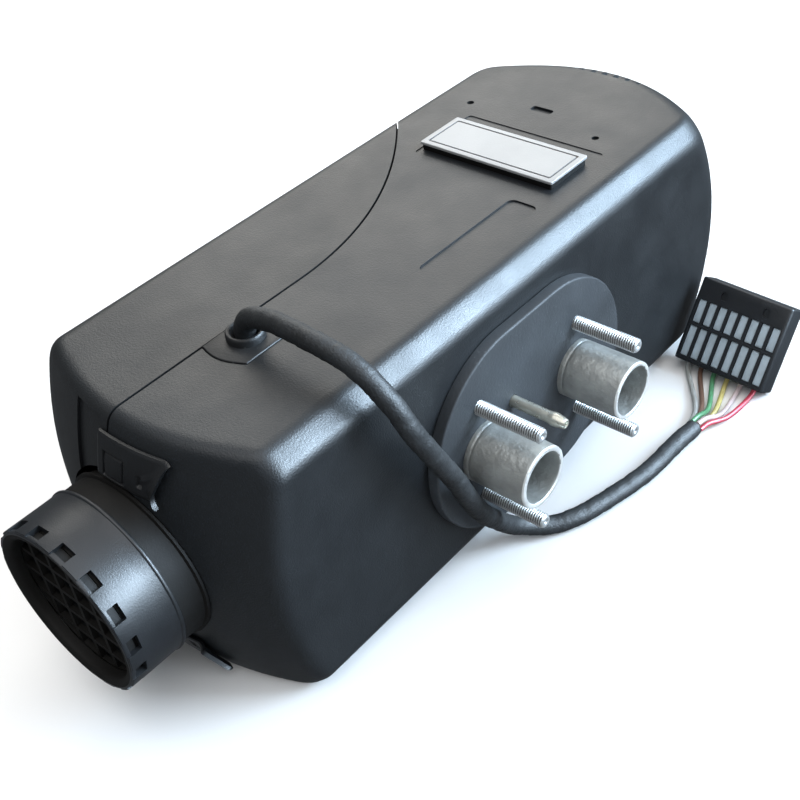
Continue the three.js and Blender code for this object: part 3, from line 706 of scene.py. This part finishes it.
# Painted shade: the neck and bead are in the dark, dull grille plastic so the band beside the hood reads unlit.
neck = lathe("hood_neck", [(33.2, 127.1), (33.2, 134), (33.2, 140), (31.7, 140), (31.7, 127.1)], "X", (AY, AZ), 224)
bead = lathe("bead", [(33.0, 128.0), (34.5, 128.0), (34.5, 168), (33.0, 168)], "X", (AY, AZ), 224)
boolean(bead, make("d", v1 - np.array([0.35, 0, 0]), f1))
boolean(bead, make("d", v1 - np.array([1.35, 0, 0]), f1), "INTERSECT")
boolean(neck, bead, "UNION")
finish_piece(neck, GRILLE, "hood", slot="satin_plastic", angle=30)
lip = lathe("hood_lip", [(29.2, 108.9), (29.2, 106.2), (29.6, 105.2), (30.4, 104.4), (31.4, 104.05), (32.2, 104.02), (32.9, 104.15), (33.15, 104.5), (33.2, 105.0), (33.2, 105.8), (31.75, 105.8), (31.75, 108.9)],
            "X", (AY, AZ), 224)
lip.data.materials.append(SATIN)
lip.data.materials.append(GRILLE)
# Painted shade: the lip's inner faces take the dark grille plastic so the mouth reads dark inside.
for q in lip.data.polygons:
    if math.hypot(q.center.y * 1000 + OY - AY, q.center.z * 1000 - AZ) < 32.3:
        q.material_index = 1
finish_piece(lip, None, "hood", slot="satin_plastic", angle=40)

# ---------------------------------------------------------------- intake grille
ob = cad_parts["intake_grille"]
ob.data.materials.clear()
ob.data.materials.append(GRILLE)

# ---------------------------------------------------------------- outlet
ring = lathe("outlet_collar", [(27.6, 430)] + [(30, 430), (30, 441.4)] + [(32.6, 441.4), (33.0, 441.8), (33.0, 443.1), (32.6, 443.5), (30, 443.6), (30, 447)] +
             [(30.35, 448), (30.0, 449), (29.9, 451), (29.4, 451.8), (28.8, 452), (28.0, 451.8), (27.6, 451.2), (27.6, 440)], "X", (AY, AZ), 160)
finish_piece(ring, SATIN, "casing", "outlet_ring", slot="satin_plastic", angle=30)

# ---------------------------------------------------------------- pipe side
pad = prism("pad", stadium(266.5, 296.5, 55, 43.5, 56), 0.3, 5.0, "Y", soft=0.9, steps=4)
holes = [cylinder("c", "Y", 12.75, -12, 12, (250, 54.8), 96), cylinder("c", "Y", 12.35, -12, 12, (308.7, 54.8), 96), cylinder("c", "Y", 2.6, -12, 12, (268.5, 65.5), 32)]
holes += [cylinder("c", "Y", 3.15, -12, 12, p, 32) for p in ((249, 76), (310, 76), (249, 33.5), (310, 33.5))]
for h in holes:
    boolean(pad, h)
finish_piece(pad, RUBBER, "casing", "mount_gasket", slot="rubber", angle=40)


def stub(name, x, r, seed, node):
    """A cast pipe stub with a parting ring, a ragged cut rim and a slightly uneven skin."""
    rng = np.random.RandomState(seed)
    n = 144
    a = np.linspace(0, 2 * np.pi, n, endpoint=False)
    ragged = np.zeros(n)
    for k in range(2, 26):
        ragged += rng.normal() / k ** 0.9 * np.cos(k * a + rng.uniform(0, 6.3))
    ragged *= 0.10
    chips = np.zeros(n)
    for _ in range(7):
        c, w, h = rng.uniform(0, 6.3), rng.uniform(0.04, 0.12), rng.uniform(-0.25, 0.3)
        chips += h * np.exp(-(((a - c + np.pi) % (2 * np.pi) - np.pi) / w) ** 2)
    prof = [(r, -0.3), (r, -1.0), (r, -3.5), (r, -6.0), (r, -6.8), (r - 0.16, -6.95), (r - 0.16, -7.3), (r, -7.45), (r, -8.2)] + [(r + 0.03 * math.sin(q), -q) for q in np.arange(9, 30.5, 1.5)] + \
        [(r - 0.02, -31.2), (r - 0.2, -31.75), (r - 0.55, -31.95), (10.65, -31.95), (10.35, -31.7), (10.3, -31.0), (10.3, -20), (10.3, -0.3)]
    out = []
    for rr, y in prof:
        rim = np.clip((-y - 29.5) / 2.4, 0, 1)
        rad = rr + 0.06 * np.cos(2 * a + seed) + rim * (0.5 * ragged + 0.35 * chips) * (1 if rr > 11 else -0.6)
        yy = np.minimum(y + rim * (0.25 * np.abs(ragged)), -0.3) if y < -29 else np.full(n, y)
        out.append(np.stack([x + rad * np.cos(a), np.broadcast_to(yy, (n,)), 54.8 + rad * np.sin(a)], 1))
    v, f = rings(out, close=True)
    ob = make(name, v, f)
    ob.data.materials.append(CAST)
    ob.data.materials.append(RIM)
    for p in ob.data.polygons:
        c = p.center
        y = c.y * 1000 + OY
        rad = math.hypot(c.x * 1000 + OX - x, c.z * 1000 - 54.8)
        if y < -31.3 and rad > 10.45:
            p.material_index = 1
    return finish_piece(ob, None, "casing", node, slot="cast_aluminium", angle=50)


stub("air_stub", 250.0, 12.55, 3, "combustion_air_tube")
stub("exhaust_stub", 308.7, 12.15, 8, "exhaust_tube")

for i, (x, z) in enumerate(((249, 76), (310, 76), (249, 33.5), (310, 33.5))):
    n, out = 28, []
    a = np.linspace(0, 2 * np.pi, n, endpoint=False)
    ys = np.arange(6.0, -33.001, -0.125)
    for y in ys:
        turn = (-y - a / (2 * np.pi) + i * 0.3) % 1.0
        tri = 1 - np.abs(turn * 2 - 1)
        tooth = np.clip(tri * 1.3 - 0.12, 0, 1)
        body_ = 2.42 + 0.55 * tooth
        tip = np.clip((y + 33.0) / 0.8, 0, 1)
        r = np.minimum(body_, 2.25 + 0.75 * tip)
        out.append(np.stack([x + r * np.cos(a), np.full(n, y), z + r * np.sin(a)], 1))
    for r, y in ((1.15, -33.0), (0.7, -32.5), (0.3, -32.3)):
        out.append(np.stack([x + r * np.cos(a), np.full(n, y), z + r * np.sin(a)], 1))
    v, f = rings(out)
    stud = make("threaded_stud_%d" % (i + 1), v, f)
    stud.data.materials.append(ZINC)
    stud.data.materials.append(ZINC_ROOT_SHADE)
    # Faces in the thread roots take the darker zinc: painted shade in the grooves.
    for q in stud.data.polygons:
        c = q.center
        y = c.y * 1000 + OY
        if math.hypot(c.x * 1000 + OX - x, c.z * 1000 - z) < 2.62 and -32.3 < y < 3:
            q.material_index = 1
    finish_piece(stud, None, "casing", "stud_%d" % (i + 1), slot="zinc_steel", angle=50)

fuel = lathe("fuel_spigot", [(1.05, 4.5), (2.35, 4.5), (2.35, -8), (2.35, -21.5), (2.45, -22.2), (2.72, -23.2), (2.74, -24.2), (2.6, -25.4), (2.2, -27.4), (1.95, -28.7), (1.75, -29.0), (1.2, -29.0), (1.0, -28.6), (1.0, -20)],
             "Y", (268.5, 65.5), 48)
finish_piece(fuel, FUEL, "casing", "fuel_pipe", slot="fuel_metal", angle=30)

# ---------------------------------------------------------------- side wall fittings
plate = prism("grommet_plate", grommet_outline(0.35), 110.6, 115.5, soft=0.45)
collar = lathe("grommet_collar", [(4.4, 112), (6.9, 112)] + [(7.1, 115.3), (7.15, 117.6), (7.0, 118.2), (6.6, 118.55), (6.1, 118.6), (5.6, 118.3), (5.2, 117.4), (4.9, 116.4), (4.5, 115.8)], "Z", (199, 55), 96)
grommet = boolean(plate, cylinder("c", "Z", 6.0, 100, 125, (199, 55), 64))
boolean(grommet, collar, "UNION")
finish_piece(grommet, DARK_RUBBER, "casing", "cable_grommet", slot="rubber", angle=35)

badge = prism("badge_plate", round_rect(332.5, 357.5, 21.6, 88.4, 0.8), 117.35, 118.4, soft=0.35, steps=3)
groove = prism("c", round_rect(334.9, 355.1, 24.0, 86.0, 0.8), 118.1, 120)
boolean(groove, prism("c2", round_rect(335.75, 354.25, 24.85, 85.15, 0.6), 117, 121))
boolean(badge, groove)
finish_piece(badge, PLATE, "casing", "name_plate", slot="plate_metal", angle=30)
# Painted shadow: a dark base under the thin plate so its lower edge reads as the shadow beneath it.
badge_shade_base = prism("badge_shadow_base", round_rect(333.1, 356.9, 22.2, 87.8, 0.8), 114.72, 117.3)
finish_piece(badge_shade_base, GRILLE, "casing", slot="rubber")
inlay = prism("badge_border", round_rect(334.95, 355.05, 24.05, 85.95, 0.8), 118.05, 118.16)
boolean(inlay, prism("c2", round_rect(335.65, 354.35, 24.75, 85.25, 0.6), 117, 121))
finish_piece(inlay, INLAY, "casing", slot="plate_metal")

# ---------------------------------------------------------------- inner pieces keep their own solids
for node, mat in (("outlet_grille", GRILLE), ("heat_exchanger", CAST), ("burner_tube", STEEL), ("glow_plug", STEEL), ("glow_plug_cap", DARK_RUBBER),
                  ("temperature_sensor", ELECTRONICS), ("sensor_clip", STEEL), ("motor_housing", STEEL), ("bearing_front", STEEL), ("bearing_rear", STEEL),
                  ("motor_shaft", STEEL), ("hot_air_impeller", BLOWER), ("combustion_impeller", CAST), ("blower_housing", CAST), ("control_unit", ELECTRONICS)):
    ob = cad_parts[node]
    ob.data.materials.clear()
    ob.data.materials.append(mat)

# ---------------------------------------------------------------- floor and light
floor_me = bpy.data.meshes.new("floor")
floor_me.from_pydata([(-6, -6, 0), (6, -6, 0), (6, 6, 0), (-6, 6, 0)], [], [(0, 1, 2, 3)])
floor = bpy.data.objects.new("floor", floor_me)
scene.collection.objects.link(floor)
floor.visible_glossy = False
fm = bpy.data.materials.new("floor")
fm.use_nodes = True
fb = fm.node_tree.nodes["Principled BSDF"]
fb.inputs["Base Color"].default_value = (0.88, 0.88, 0.88, 1)
fb.inputs["Roughness"].default_value = 0.9
fb.inputs["Specular IOR Level"].default_value = 0.1
floor_me.materials.append(fm)

world = bpy.data.worlds.new("world")
scene.world = world
world.use_nodes = True
bg = world.node_tree.nodes["Background"]
bg.inputs[0].default_value = (0.88, 0.94, 1.0, 1)
bg.inputs[1].default_value = 0.14


def area(name, direction_, distance, size, power, color, size_y=None, target=(0, 0, 0.06), sheen_only=False):
    l = bpy.data.lights.new(name, "AREA")
    l.energy = power
    l.color = color
    l.shape = "RECTANGLE"
    l.size = size
    l.size_y = size_y or size
    o = bpy.data.objects.new(name, l)
    scene.collection.objects.link(o)
    d_ = Vector(direction_).normalized()
    o.location = Vector(target) + d_ * distance
    o.rotation_euler = d_.to_track_quat("Z", "Y").to_euler()
    o.visible_diffuse = not sheen_only
    return o


area("back_soft", (0.62, 0.60, 0.62), 1.7, 1.5, 24, (1.0, 0.98, 0.93))
area("edge_soft", (0.53, -0.65, 0.55), 1.6, 0.75, 30, (0.66, 0.83, 1.0))
area("edge_sheen", (0.645, -0.575, 0.50), 1.6, 1.15, 75, (0.60, 0.80, 1.0), size_y=0.5, sheen_only=True)
area("hood_sheen", (0.30, -0.88, 0.36), 1.6, 0.95, 60, (0.66, 0.83, 1.0), size_y=0.55, sheen_only=True)
area("flange_fill", (0.42, -0.88, 0.22), 1.7, 1.3, 20, (0.72, 0.86, 1.0))
sun = bpy.data.lights.new("top_soft", "SUN")
sun.energy = 2.3
sun.angle = math.radians(75)
sky = bpy.data.objects.new("top_soft", sun)
scene.collection.objects.link(sky)
sky.rotation_euler = Vector((-0.25, -0.15, 1.0)).to_track_quat("Z", "Y").to_euler()

scene.view_settings.view_transform = "Standard"
scene.view_settings.look = "None"
scene.view_settings.exposure = 0.0

print("CORD", round(cable_length, 4), [round(x[2], 4) for x in wire_specs])
